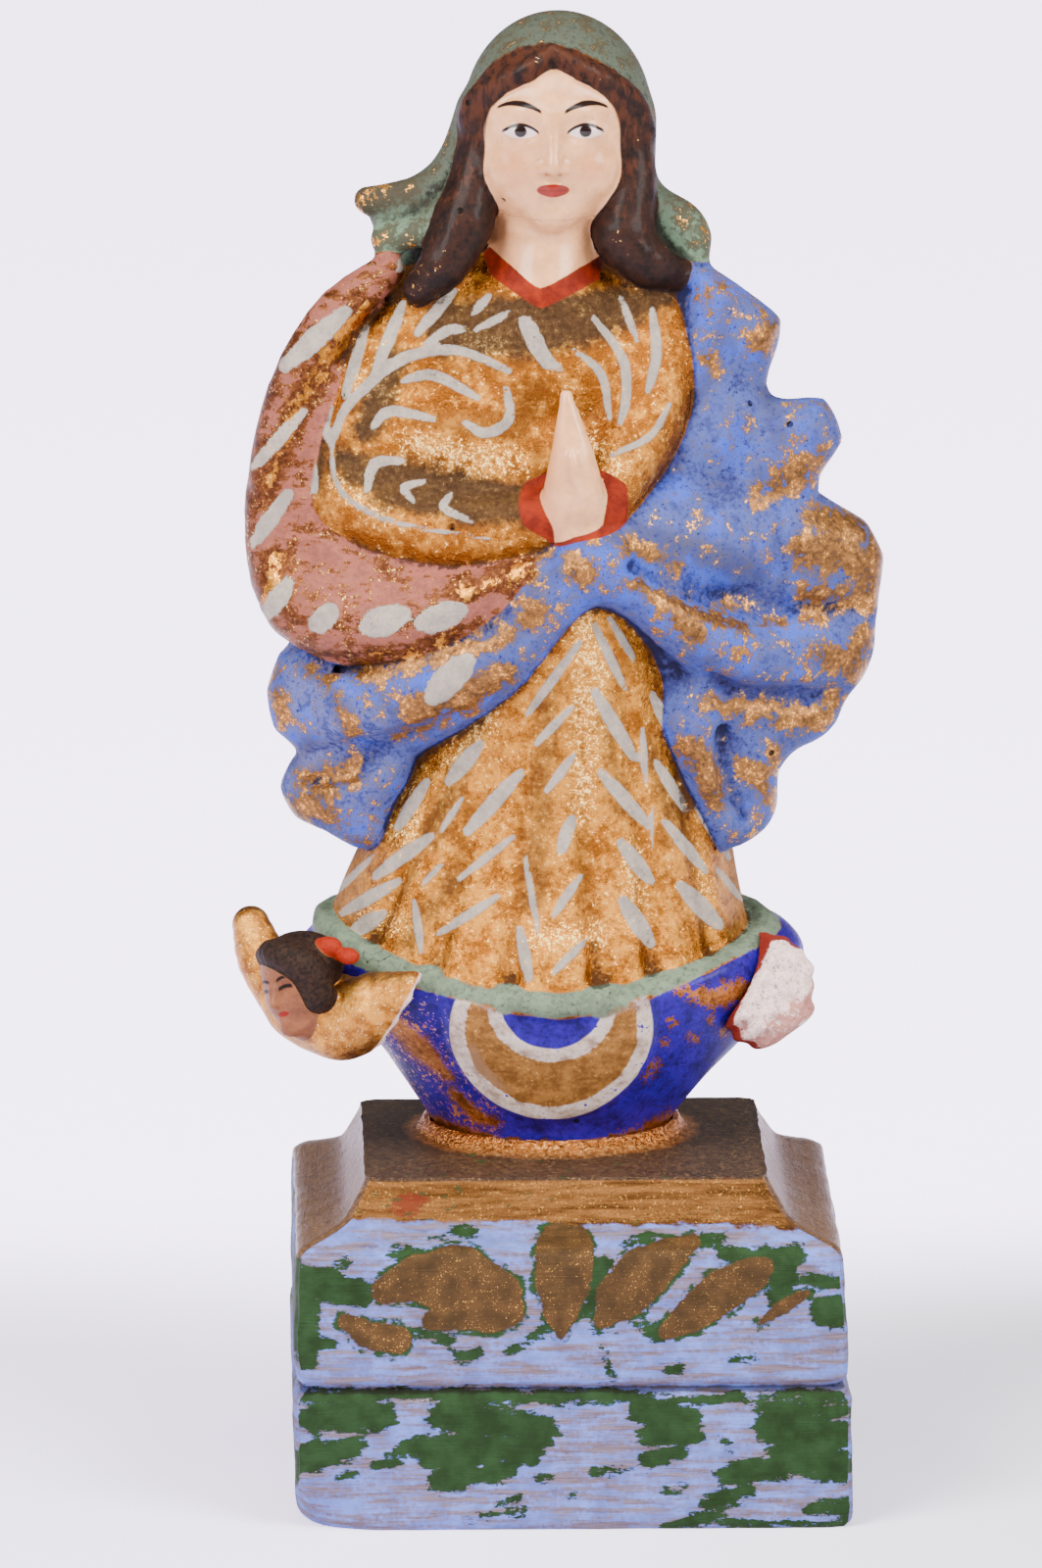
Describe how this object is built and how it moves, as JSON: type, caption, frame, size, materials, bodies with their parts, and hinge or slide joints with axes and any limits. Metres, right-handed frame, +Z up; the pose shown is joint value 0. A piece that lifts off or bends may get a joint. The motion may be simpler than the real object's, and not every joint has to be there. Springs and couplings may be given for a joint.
{
  "type": "polychrome wooden madonna statuette",
  "caption": "Small carved and painted praying Madonna in veil and wind-blown mantle, standing on a globe with a crescent, on a moulded wooden plinth.",
  "frame": {"origin": "middle of the underside of the plinth", "axes": "+Z up, and the figure faces -Y"},
  "size_m": [0.0614, 0.0476, 0.1402],
  "materials": {
    "painted_carving": "gilding, blue and pink paint and glossy flesh colour on carved wood, rubbed through in places",
    "gilded_wood": "gilding and painted flesh colour, worn",
    "broken_gesso": "matt white gesso and red bole where a piece broke off",
    "painted_plinth": "flaking green over pale blue paint, with gilded mouldings"
  },
  "bodies": {
    "root": {"madonna": "painted_carving", "cherub": "gilded_wood", "cherub_stump": "broken_gesso", "plinth": "painted_plinth"}
  },
  "joints": []
}
